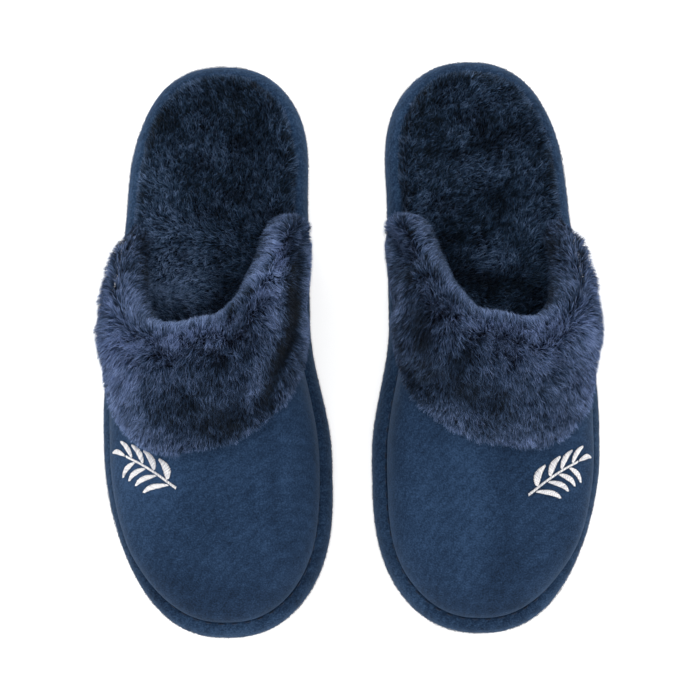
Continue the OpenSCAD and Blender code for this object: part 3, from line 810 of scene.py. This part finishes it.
def vamp_grid(d, m, n, back=0.0):
    t = (np.arange(1, m + 1) / m) ** 1.22
    fine = np.linspace(-90, 90, 1501)
    edge = np.linspace(0, 4, 13)[:-1]
    rows = []
    for tj in t:
        y = mix(tip_y(d), top_y(fine) - back * (1 + 3 * smooth((np.abs(fine) - 62) / 22)), 1 - np.cos(np.pi / 2 * tj))
        p = vamp_pt(fine, y, d)
        run = distances(p)
        total = run[-1]
        near = edge * min(1.0, total / 40)
        inside = np.linspace(4 * min(1.0, total / 40), total - 4 * min(1.0, total / 40), n - 2 * len(near))
        want = np.concatenate([near, inside, (total - near)[::-1]])
        rows.append(points_at(p, run, want))
    p = np.array(rows)
    tip = np.broadcast_to(vamp_pt(0, tip_y(d), d), (1, *p.shape[1:]))
    return np.concatenate([tip, p])


def seam_points(n=900):
    y = mix(tip_y(0), wing_y, np.linspace(0, 1, n) ** 1.6)
    return np.concatenate([vamp_pt(-90.0, y, 0.0), vamp_pt(90.0, y, 0.0)])


def vamp(side):
    seed = 90 if side == "left" else 75
    p = vamp_grid(0.0, 132, 150)
    s = Surface(p)
    seam = seam_points()
    tree = lookup(seam, range(len(seam)))
    dist = np.array([tree.find(q)[2] for q in p.reshape(-1, 3)]).reshape(p.shape[:2])
    fold = -0.42 * np.exp(-((dist - 2.3) / 0.42) ** 2) + 0.22 * np.exp(-((dist - 1.1) / 0.7) ** 2)
    puff = 0.7 * np.exp(-((dist - 7) / 5.0) ** 2)
    inner = smooth((mid_x(p[..., 1]) - 8 - p[..., 0]) / 18)
    outer = smooth((p[..., 0] - mid_x(p[..., 1]) - 22) / 12)
    drape = 0.55 * noise(p, (9, 70, 30), seed) * (0.35 + inner + 0.4 * outer) * smooth((p[..., 1] - toe_y - 30) / 40)
    sag = 0.35 * noise(p, (26, 30, 26), seed + 1) + 0.10 * noise(p, 7, seed + 2)
    away = smooth(dist / 3)
    p = p + s.n * (fold + (puff * 0.6 + drape + sag) * away)[..., None]
    # the puffed face, the sheet's under side, its two sewn edges and its lip
    m = Mesh()
    under = vamp_grid(shell_t, 40, 60)
    # painted light and shade from the patches above
    tone = 0.5 + tone_patches(p, VAMP_PAINTED_SHADING[side])
    # painted shade in the seam's groove, and a fainter painted shade along the fold line beside it
    tone = tone - 0.08 * np.exp(-(dist / 1.6) ** 2) - 0.03 * np.exp(-((dist - 2.5) / 0.6) ** 2)
    m.grid(p, (0, 0.16, 1, 1), fur=toned(tone))
    m.grid(under, (0, 0, 1, 0.14), flip=True)
    ends = np.stack([p[1:, 0], p[1:, 0] + [0.5, 0, -2.4]], 1)
    m.grid(ends, (0, 0.14, 0.4, 0.15))
    ends = np.stack([p[1:, -1] + [-0.5, 0, -2.4], p[1:, -1]], 1)
    m.grid(ends, (0.5, 0.14, 0.9, 0.15))
    a = np.linspace(-90, 90, p.shape[1])
    m.grid(np.array([p[-1], vamp_pt(a, top_y(a), shell_t)]), (0, 0.15, 1, 0.16))
    m.make(side + "_vamp_suede", side, VAMP, "vamp_suede", [side + "_vamp_shell"], fill=0.5)


def vamp_layer(name, side, d0, d1, mat, slot, node_name, fill, back=0.0):
    m = Mesh()
    top, under = vamp_grid(d0, 60, 80, back), vamp_grid(d1, 60, 80, back)
    s = Surface(top)
    top = top - s.n * (0.10 * (1 + noise(top, 9, 12)))[..., None]
    m.grid(top, (0, 0.52, 1, 1))
    m.grid(under, (0, 0.02, 1, 0.5), flip=True)
    m.grid(np.stack([under[1:, 0], top[1:, 0]], 1), (0, 0.5, 0.3, 0.51))
    m.grid(np.stack([top[1:, -1], under[1:, -1]], 1), (0.3, 0.5, 0.6, 0.51))
    m.grid(np.array([top[-1], under[-1]]), (0.6, 0.5, 1, 0.51))
    m.make(name, side, mat, slot, [node_name], fill=fill)


def lining_fur(side, rng):
    """The plush of the lining, where it shows inside the opening."""
    seed = 120 if side == "left" else 140
    a = np.linspace(-86, 86, 90)
    rows = [vamp_pt(a, top_y(a) - back, upper_t) for back in np.linspace(46, 2, 40)]
    s = Surface(np.array(rows), flip=True)
    v, u = s.spread(rng, 1.7)
    root, nrm = s.roots(v, u)
    root = root - nrm * 0.3
    lay = s.at("dj", v, u) * 0.8 + 0.5 * s.at("di", v, u) * noise(root, 16, seed)[:, None]
    lay = unit(lay) * 0.85
    tone = 0.36 + 0.2 * noise(root, 15, seed + 1) + rng.normal(0, 0.06, len(root))
    length = np.clip(4.4 + 0.8 * rng.standard_normal(len(root)), 2.5, 6.5)
    hair = Mesh()
    strands(hair, rng, root, nrm, lay, length, 50, 12, np.full(len(root), 0.4), 3, tone, s.place(v, u),
            clumps=((1.0, 0.5), (2.8, 0.4)), curl=0.8)
    hair.make(side + "_lining_pile", side, PLUSH, "footbed_plush")


# ---------------------------------------------------------------- fur collar
# lighter and darker patches of the collar's fur, each (x, y, half width, half length, lighter or darker) in mm; the
# long light bands down the outer side are painted highlight, the dark ones down the inner side painted shade
COLLAR_TONE_AND_SHADING = {
    "right": [(-3, -6, 14, 8, -.22), (23, -29, 12, 9, -.12), (-33, -5, 6, 12, -.3), (-35, 21, 3.5, 16, -.3),
              (46, 0, 6, 40, .34), (10, 9, 20, 6, .16), (-27, 41, 8, 18, .24), (-24, 17, 5, 14, .14),
              (2, -19, 9, 7, .06), (25, -42, 16, 6, .14), (-18, -32, 8, 6, .10), (36, 26, 9, 12, .12),
              (20, 5, 24, 8, .24), (-2, 8, 8, 8, .15), (-22, 27, 8, 10, .16), (-32, 45, 6, 12, .18),
              (-32, 12, 4, 6, .16), (-12, -24, 10, 8, -.24), (0, -31, 15, 8, -.36), (14, -22, 12, 7, -.16),
              (38, -2, 7, 34, .2), (32, -36, 14, 8, .14)],
    "left": [(-9, -6, 9, 8, -.22), (4, -25, 9, 8, -.20), (-27, 8, 6, 12, -.24), (-39, 0, 5, 14, -.18),
             (-33, -16, 8, 8, -.3), (-14, -15, 8, 7, -.2), (33, 40, 6, 10, -.12), (25, 2, 14, 16, .20),
             (4, 11, 22, 5, .18), (18, -41, 20, 6, .16), (-33, 47, 8, 10, .14), (-36, 19, 6, 6, .12),
             (46, 10, 7, 30, .26), (-12, 21, 7, 5, .1), (8, 5, 9, 9, .16), (30, 5, 12, 10, .2),
             (38, 10, 6, 10, .12), (-10, -20, 9, 6, -.15), (28, 21, 5, 6, -.2), (47, -18, 6, 12, .2)],
}
ROLL = 0.30      # share of the surface's run, before the opening's edge, that is the roll


def tapered(s):
    """0 at the collar's tucked ends, 1 along the rest of it."""
    return smooth(np.minimum(s, 1 - s) / 0.1)


def collar_surface(height, ns=200, nt=110, edge=0.93):
    """Skin of the collar, from inside the opening (t = -ROLL) over the roll and down to near the free edge."""
    s = np.linspace(0, 1, ns)
    rows, ts = [], np.concatenate([np.linspace(-ROLL, 0, 34)[:-1], np.linspace(0, edge, nt - 33)])
    for t in ts:
        f = fur_t(s, max(0.0, t)) * height
        if t >= 0:
            a, y = collar_at(s, t)
            p = vamp_pt(a, y, -nap_gap - f)
        else:
            q = -t / ROLL * math.radians(155)
            a, y = collar_at(s, 0 * s)
            dc = upper_t / 2
            rd = dc + nap_gap + f
            p = vamp_pt(a, y + 0.62 * roll * mix(0.2, 1, tapered(s)) * math.sin(q), dc - rd * math.cos(q))
        rows.append(p)
    return np.array(rows), ts, s


def collar(side, rng):
    seed = 200 if side == "left" else 230
    p, ts, ss = collar_surface(0.52)
    s = Surface(p, flip=True)
    valley = crease(p, side)
    sunk = (PARTING[side]["deep"] * valley + 0.35 * noise(p, 9, seed))[..., None]
    p = p - s.n * sunk * smooth((ts[:, None] + 0.05) / 0.15)[..., None]
    m = Mesh()
    m.grid(p, (0, 0.3, 1, 1), flip=True)
    a, y = collar_at(ss[None, :], np.linspace(0, 0.93, 20)[:, None])
    m.grid(vamp_pt(a, y, -0.25), (0, 0, 1, 0.3))
    m.make(side + "_collar_skin", side, FUR_BACK, "collar_fur", [side + "_fur_cuff"], fill=0.35)

    s = Surface(p, flip=True)
    v, u = s.spread(rng, 8.6)
    root, nrm = s.at("p", v, u), unit(s.at("n", v, u))
    inner = smooth((mid_x(root[:, 1]) - 24 - root[:, 0]) / 10)
    pressed = inner * smooth((root[:, 1] - 12) / 14)
    t = np.interp(v, np.arange(len(ts)), ts)
    sv = u / (len(ss) - 1)
    down = s.at("dj", v, u)
    lean = (t - 0.12) / 0.12 + 1.3 * noise(root, 4.5, seed + 8) + rng.normal(0, 0.6, len(t))
    lean = np.where(lean < 0, -1, 1) * np.clip(np.abs(lean), 0.55, 1)
    lay = down * lean[:, None]
    # towards the wings the nap lies outwards and back
    wing = smooth((root[:, 1] - 22) / 30)
    outside = np.stack([np.sign(root[:, 0] - mid_x(root[:, 1])), 0 * t, 0 * t], -1)
    back = np.stack([0 * t, 0 * t + 1, 0 * t], -1)
    tuck = mix(1.0, 0.3, smooth((root[:, 1] - wing_y + 16) / 8))[:, None]
    drawn = 1.1 * tuck * back + mix(0.5, -0.1, inner)[:, None] * outside
    lay = lay + wing[:, None] * smooth((t - 0.1) / 0.2)[:, None] * drawn
    # the inner wing's roll leans in over the footbed
    over = inner * smooth((root[:, 1] - wing_y + 26) / 10) * smooth((0.18 - t) / 0.1)
    lay = mix(lay, -0.9 * outside, over[:, None])
    angle = 0.7 * noise(root, (30, 30, 40), seed + 1) + 0.6 * noise(root, 7, seed + 2) + rng.normal(0, 0.3, len(root))
    flat = lay - nrm * (lay * nrm).sum(1, keepdims=True)
    size = np.clip(np.linalg.norm(flat, axis=1, keepdims=True), 0, 1)
    flat = unit(flat)
    flat = np.cos(angle)[:, None] * flat + np.sin(angle)[:, None] * np.cross(nrm, flat)
    lay = flat * size * np.clip(0.85 + 0.35 * noise(root, 7, seed + 3), 0.4, 1)[:, None]
    base = fur_t(sv, np.maximum(0, t))
    uneven = np.clip(1 + 0.14 * rng.standard_normal(len(root)), 0.6, 1.4)
    length = base * mix(0.92, 1.08, smooth((0.55 - t) / 0.5)) * uneven
    length = np.maximum(length, 3.4) * mix(1.0, 0.85, smooth(-t / ROLL)) * mix(1, 0.7, pressed)
    across = root[:, 0] - mid_x(root[:, 1])
    length = length * mix(1.0, 0.9, smooth((np.abs(nrm[:, 0]) - 0.55) / 0.35) * smooth((np.abs(across) - 36) / 6))
    outer = smooth((across - 26) / 10) * smooth((root[:, 1] + 6) / 14) * smooth((58 - root[:, 1]) / 12)
    length = length * mix(1.0, 1.15, outer)
    length = length * mix(0.68, 1.0, tapered(sv)) * mix(1.0, 1.35, over)
    root = root + nrm * (1.6 * outer)[:, None]
    patch = 0.6 * noise(root, (22, 20, 30), seed + 4) + 0.4 * noise(root, 8, seed + 5)
    # painted highlight along the roll's ridge, painted shade where the roll turns down into the opening, painted
    # highlight towards the free edge
    ridge_highlight = np.exp(-((t - 0.02) / 0.16) ** 2)
    tone = 0.48 + 0.16 * patch + 0.06 * ridge_highlight + rng.normal(0, 0.17, len(root)) - 0.25 * smooth((-t - 0.12) / 0.15)
    tone = tone + 0.10 * smooth((t - 0.8) / 0.12)
    place = s.place(v, u)
    rise0, rise1 = mix(66.0, 36.0, pressed), mix(24.0, 4.0, pressed)
    for tag, start, end in (("inner", 0, 0.34), ("crest", 0.34, 0.52), ("front", 0.52, 0.7), ("outer", 0.7, 2)):
        keep = (sv >= start) & (sv < end)
        hair = Mesh()
        strands(hair, rng, root[keep], nrm[keep], lay[keep], length[keep], rise0[keep], rise1[keep],
                rng.uniform(0.16, 0.30, keep.sum()), 3, tone[keep], place[keep],
                clumps=((0.8, 0.34), (2.6, 0.16)), curl=0.7,
                tone_at=lambda q: tone_patches(q, COLLAR_TONE_AND_SHADING[side]) + parted(q, side))
        hair.make(f"{side}_collar_fur_{tag}", side, FUR, "collar_fur")


# course of the parting down the collar's inner side: x at each y, how wide and deep it is, how dark its painted shade
# is and how light the painted highlight along its two sides is
PARTING = {
    "right": dict(y=[-30, -20, -8, 6, 17, 29, 44], x=[-22, -23, -26.5, -32, -34.5, -36, -36],
                  wide=3.0, deep=2.8, dark=0.42, ridge_highlight=0.16),
    "left": dict(y=[-18, 2, 22, 44], x=[-25, -28, -32, -35], wide=4.6, deep=1.4, dark=0.2, ridge_highlight=0.0),
}


def crease(p, side, aside=0.0):
    """A parting in the nap that runs down the inner side of the collar, 1 in its middle."""
    k, y = PARTING[side], p[..., 1]
    line = np.interp(y, k["y"], k["x"]) + aside
    wide = k["wide"] * mix(0.75, 1.25, smooth((30 - y) / 50))
    there = smooth((y + 34) / 16) * smooth((56 - y) / 14) * smooth((p[..., 2] - 28) / 6)
    return np.exp(-((p[..., 0] - line) / wide) ** 2) * there


def parted(p, side):
    """How much lighter or darker the parting makes the nap: painted shade down its middle and painted highlight along
    its two sides.
    """
    k = PARTING[side]
    return k["ridge_highlight"] * (crease(p, side, 7.0) + crease(p, side, -7.0)) - k["dark"] * crease(p, side)


def wing_tufts(side, rng):
    """The collar's two tucked ends, where the wings meet the platform."""
    hair, core = Mesh(), Mesh()
    q, w = np.meshgrid(np.linspace(0, 2 * math.pi, 25), np.linspace(0.02, 0.98, 13) * math.pi, indexing="xy")
    for sign in (-1, 1):
        tucked, y = (3.6, wing_y - 11) if sign < 0 else (0.8, wing_y - 10)
        c = (vamp_pt(sign * 89.0, y, 0.0) + vamp_pt(sign * 89.0, y, upper_t)) / 2 + [-sign * tucked, 0.0, 2.6]
        shape = np.stack([np.sin(w) * np.cos(q) * 3.2, np.sin(w) * np.sin(q) * 4.5, np.cos(w) * 3.2], -1) + c
        core.grid(shape, flip=True)
        s = Surface(shape)
        s.n = unit(shape - c)
        v, u = s.spread(rng, 6.0)
        root, nrm = s.roots(v, u)
        nrm = unit(nrm)
        keep = nrm[:, 2] > -0.35
        root, nrm, v, u = root[keep], nrm[keep], v[keep], u[keep]
        n = len(root)
        lay = np.stack([sign * rng.uniform(-0.5, 0.5, n), rng.uniform(-0.1, 0.5, n), np.full(n, -0.3)], -1)
        strands(hair, rng, root, nrm, lay, rng.uniform(3.0, 5.2, n), 55, 15, rng.uniform(0.16, 0.28, n), 3,
                0.5 + rng.normal(0, 0.12, n), s.place(v, u), clumps=((0.7, 0.45), (2.2, 0.3)), curl=0.7)
    core.make(side + "_collar_ends", side, FUR_BACK, "collar_fur")
    hair.make(side + "_collar_fur_ends", side, FUR, "collar_fur")


# ---------------------------------------------------------------- sewing and embroidery
def seam_stitches(side, name, y0, y1, node_name):
    loop = outline(rim_w - 1.4 * thread_d, toe_setback * 0.9, 1400)
    closed = np.concatenate([loop, loop[:1]])
    run = distances(closed)
    total = run[-1]
    count = int(total / stitch_pitch)
    rng = np.random.default_rng(11)
    m = Mesh()
    for k in range(count):
        at = (k + 0.5) * total / count
        q = np.linspace(-stitch_len / 2, stitch_len / 2, 7) + at
        xy = points_at(closed, run, q)
        if not y0 < xy[3, 1] < y1:
            continue
        z = thread_z + 0.32 * (1 - np.linspace(-1, 1, 7) ** 2)
        r = thread_d / 2 * np.array([0.35, 0.8, 1, 1, 1, 0.8, 0.35])
        m.tube(np.column_stack([xy, z]), r, 8, fur=[0.5, rng.uniform(0.2, 0.8), 0.5])
    m.make(name, side, NAVY, "navy_thread", [node_name])


def motif_pt(p, d):
    p = np.asarray(p, float)
    return vamp_pt(motif_angle + p[..., 0] * degrees_per_mm, motif_y + p[..., 1], d)


def heading(u):
    v = through(stem, np.array([u + 0.05]))[0] - through(stem, np.array([u - 0.05]))[0]
    return math.degrees(math.atan2(v[1], v[0]))


def satin(m, rng, line, widths, slant, pitch=0.33, r=0.21, crown=0.45, base=0.35):
    """Satin stitches laid side by side across a line, crowned over its middle."""
    line = np.asarray(line, float)
    run = distances(line)
    for at in np.arange(0.1, run[-1], pitch):
        c, ahead, behind = [points_at(line, run, q) for q in (at, min(run[-1], at + 0.2), max(0, at - 0.2))]
        c2 = ahead - behind
        w = float(np.interp(at, run, widths)) * rng.uniform(0.93, 1.07)
        h = math.atan2(c2[1], c2[0]) + math.radians(90 - slant + rng.normal(0, 2.5))
        q = np.linspace(-1, 1, 6)
        path2 = c + np.outer(q * w / 2, [math.cos(h), math.sin(h)])
        lift = base + crown * min(1, w / 2.2) * (1 - q ** 2) + rng.uniform(-0.04, 0.04)
        path = motif_pt(path2, -lift)
        m.tube(path, r * np.array([0.5, 0.95, 1, 1, 0.95, 0.5]), 6, fur=[0.5, rng.random(), 0.5])


def sprig(side):
    """A leafy sprig worked in silver satin stitch."""
    rng = np.random.default_rng(21 if side == "left" else 22)
    m = Mesh()
    leaves = []
    for u in leaf_at:
        for s in (-1, 1):
            h = heading(u)
            cos, sin = math.cos(math.radians(h)), math.sin(math.radians(h))
            foot = through(stem, np.array([u]))[0] + s * (stem_w / 2 + 0.35) * np.array([-sin, cos])
            foot = foot + np.array([cos, sin]) * s
            leaves.append((foot, h + s * 48))
    leaves.append((stem[-1] + [1, 0.5], heading(2.9) + 6))
    shift = np.array([0.0, 4.0 if side == "right" else -2.0])
    for foot, turn in leaves:
        k = np.linspace(0, 1, 13)
        ang = np.radians(turn - 24 * k)
        line = shift + foot + (leaf_len * k)[:, None] * np.stack([np.cos(ang), np.sin(ang)], -1)
        widths = mix(0.5, leaf_w, np.sin(np.radians(15 + 150 * k)) ** 1.2)
        satin(m, rng, line, widths, 38)
    k = np.linspace(0, 3, 40)
    satin(m, rng, shift + through(stem, k), np.full(40, 1.25), 42, pitch=0.36, crown=0.5)
    m.make(side + "_sprig", side, SILVER, "silver_thread", [side + "_leaf_embroidery"])


def suede_fuzz(side, rng):
    """Stray fibres that soften the outline of the wrapped edge."""
    p = rings(spline([[0.1, 7], [0.0, 9.5], [0.0, 12], [0.5, 15], [1.6, 18], [3.4, 20.3], [5.2, 21.05]], 24), 420)
    p = np.concatenate([p, p[:, :1]], 1)
    s = Surface(p)
    v, u = s.spread(rng, 2.4)
    root, nrm = s.roots(v, u)
    ang = rng.uniform(0, 2 * math.pi, len(root))
    lay = np.cos(ang)[:, None] * s.at("di", v, u) + np.sin(ang)[:, None] * s.at("dj", v, u)
    hair = Mesh()
    n = len(root)
    strands(hair, rng, root, nrm, lay, rng.uniform(0.6, 1.3, n), 50, 28, rng.uniform(0.07, 0.12, n), 2,
            np.full(n, 0.5), s.place(v, u), clumps=(), curl=0.5)
    hair.make(side + "_suede_fuzz", side, RIM, "rim_suede")


# ---------------------------------------------------------------- build both slippers
for side in SIDES:
    rng = np.random.default_rng(101 if side == "left" else 202)
    platform_wrap(side)
    slab(side + "_midsole_foam", side, 1.9, 1.9, 6.7, 13.0, FOAM, "eva_foam", side + "_midsole")
    slab(side + "_insole_foam_block", side, 2.6, 8.2, 13.2, 19.4, SOFT_FOAM, "memory_foam", side + "_insole_foam",
         squeeze=0.6)
    vamp(side)
    vamp_layer(side + "_vamp_foam", side, padding_d, padding_d + padding_t, SOFT_FOAM, "memory_foam",
               side + "_vamp_padding", 0.7, 3.6)
    vamp_layer(side + "_vamp_plush", side, lining_d, upper_t, PLUSH_BACK, "footbed_plush", side + "_vamp_lining", 0.4)
    footbed(side, rng)
    lining_fur(side, rng)
    collar(side, rng)
    wing_tufts(side, rng)
    seam_stitches(side, side + "_vamp_stitches", toe_y, wing_y - stitch_len, side + "_vamp_seam_thread")
    seam_stitches(side, side + "_heel_stitches", wing_y + 2 * roll, heel_y, side + "_heel_seam_thread")
    sprig(side)
    suede_fuzz(side, rng)
    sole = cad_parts[side + "_outsole"]
    sole.data.materials.clear()
    sole.data.materials.append(RUBBER)

# ---------------------------------------------------------------- floor, light, camera
bpy.ops.mesh.primitive_plane_add(size=8, location=(0, 0, 0))
ground = bpy.context.object
ground.name = "floor"
paper, tree, s, co = material("paper")
s.inputs["Base Color"].default_value = (0.93, 0.93, 0.93, 1)
s.inputs["Roughness"].default_value = 0.9
s.inputs["Specular IOR Level"].default_value = 0.1
s.inputs["Emission Color"].default_value = (1, 1, 1, 1)
s.inputs["Emission Strength"].default_value = 0.55
ground.data.materials.append(paper)

world = bpy.data.worlds.new("studio")
bpy.context.scene.world = world
world.use_nodes = True
world.node_tree.nodes["Background"].inputs[0].default_value = (1.0, 1.0, 1.0, 1)
world.node_tree.nodes["Background"].inputs[1].default_value = 0.85


def lamp(name, place, aim, size, power):
    data = bpy.data.lights.new(name, "AREA")
    data.shape, data.size, data.energy = "SQUARE", size, power
    o = bpy.data.objects.new(name, data)
    bpy.context.scene.collection.objects.link(o)
    o.location = place
    d = np.array(aim) - np.array(place)
    o.rotation_euler = (math.acos(-d[2] / np.linalg.norm(d)), 0, math.atan2(d[1], d[0]) - math.pi / 2)


lamp("key", (-0.55, 0.75, 1.5), (0, 0, 0), 1.3, 9)
lamp("fill", (0.8, -0.3, 1.6), (0, 0, 0), 1.4, 5)

camera = bpy.data.cameras.new("camera")
camera.lens, camera.sensor_width = 110.4, 36
view = bpy.data.objects.new("camera", camera)
bpy.context.scene.collection.objects.link(view)
view.location = (0, 0, 1.009)
view.rotation_euler = (0, 0, math.radians(-1.05))
bpy.context.scene.camera = view
bpy.context.scene.view_settings.view_transform = "Standard"
